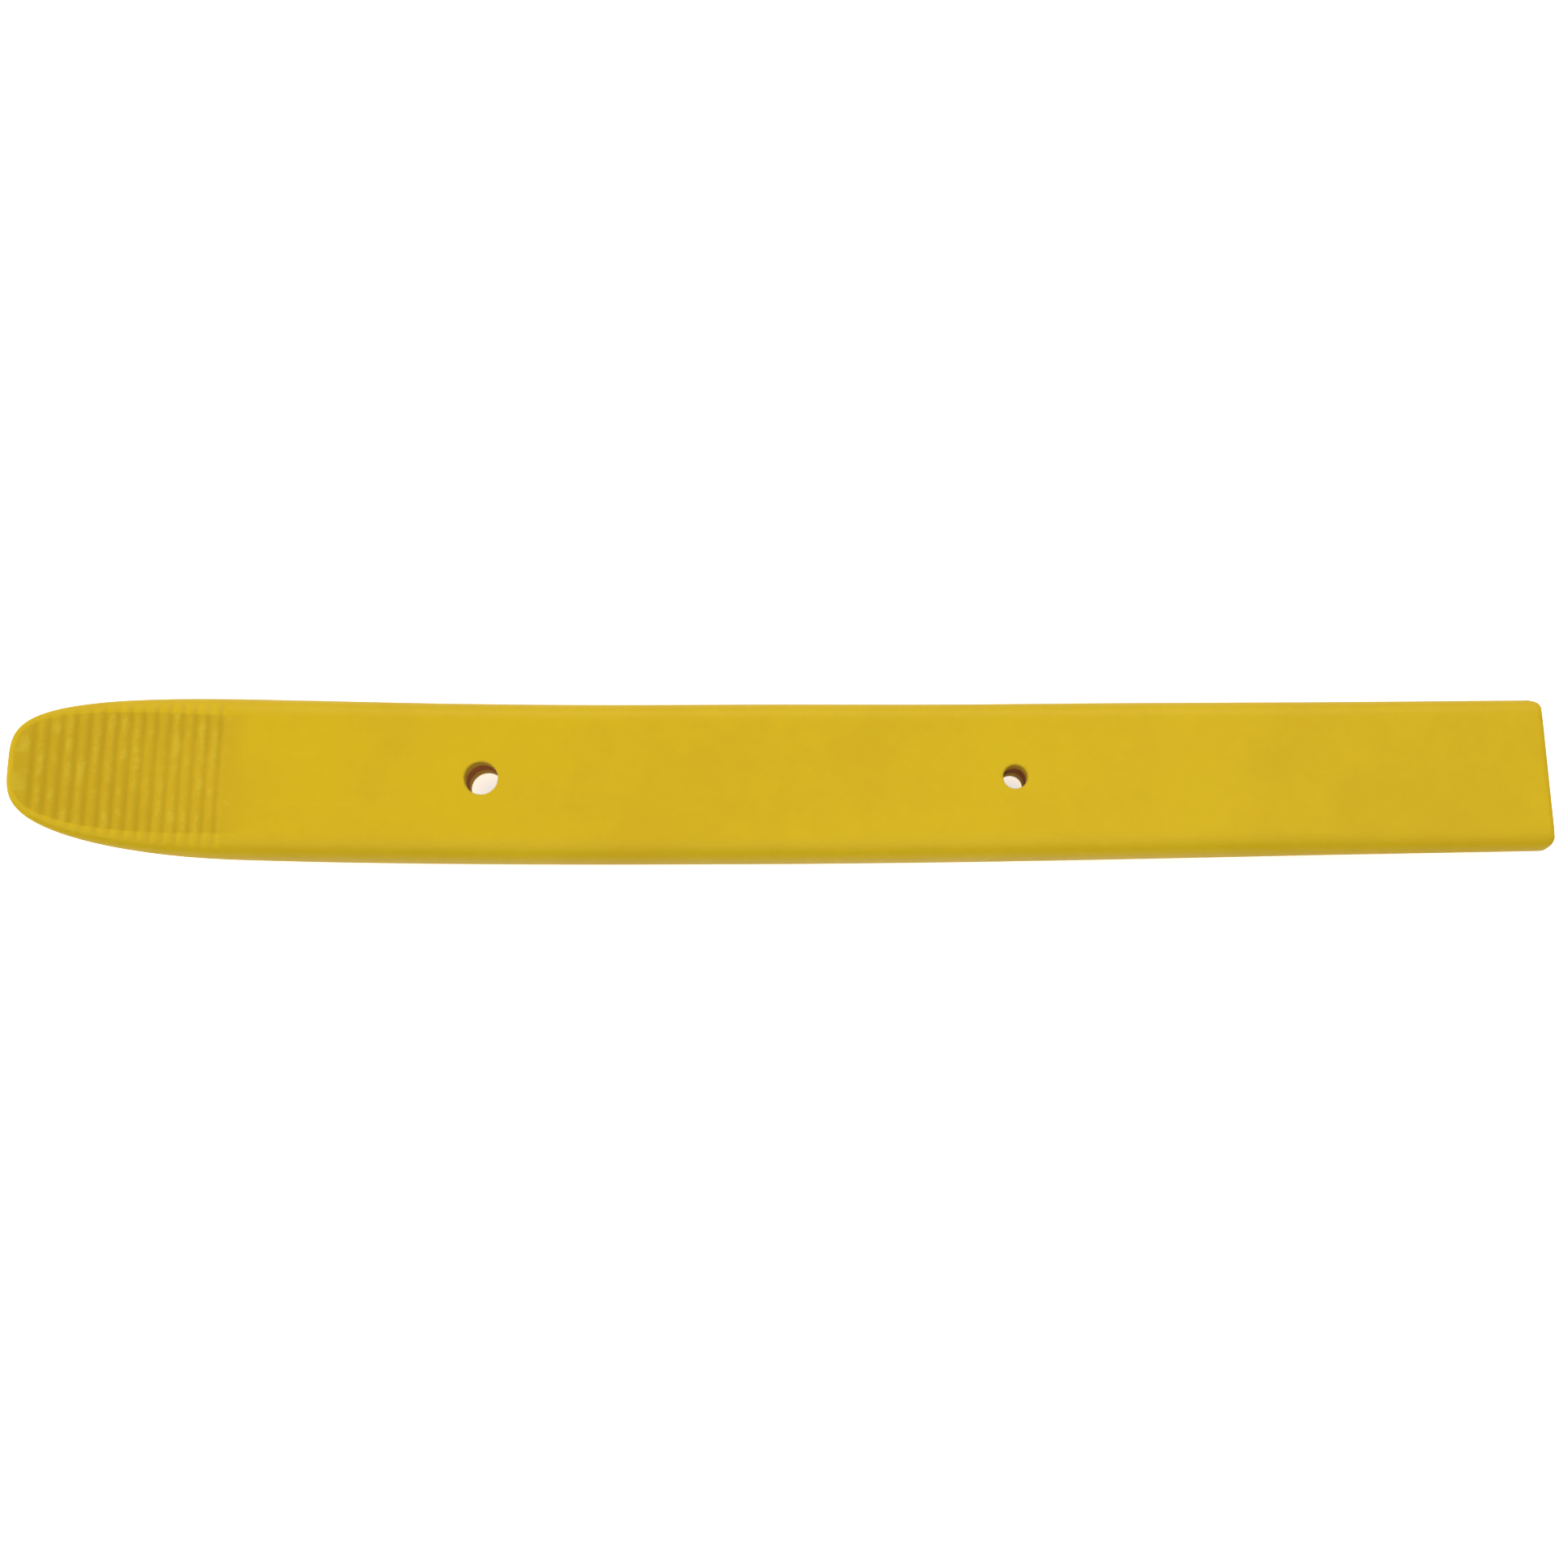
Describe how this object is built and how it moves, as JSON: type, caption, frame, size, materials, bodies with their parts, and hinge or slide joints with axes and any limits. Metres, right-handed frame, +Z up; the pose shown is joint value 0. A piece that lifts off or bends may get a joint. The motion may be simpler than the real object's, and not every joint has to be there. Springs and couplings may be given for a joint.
{
  "type": "tyre lever",
  "caption": "Long flat hand lever of yellow moulded plastic over a steel core, with a ribbed spoon tip, a square end and two through-bores on its centreline.",
  "frame": {"origin": "on the surface that the lever lies on, under the middle of its length and width", "axes": "+X along the lever from the ribbed tip to the square end, +Y across it, +Z up out of the ribbed face"},
  "size_m": [0.5, 0.054, 0.0395],
  "materials": {
    "moulded_plastic": "satin",
    "core_steel": "dark mill scale with rust where it shows in the bores"
  },
  "bodies": {
    "root": {"moulded_body": "moulded_plastic", "steel_core": "core_steel"}
  },
  "joints": []
}
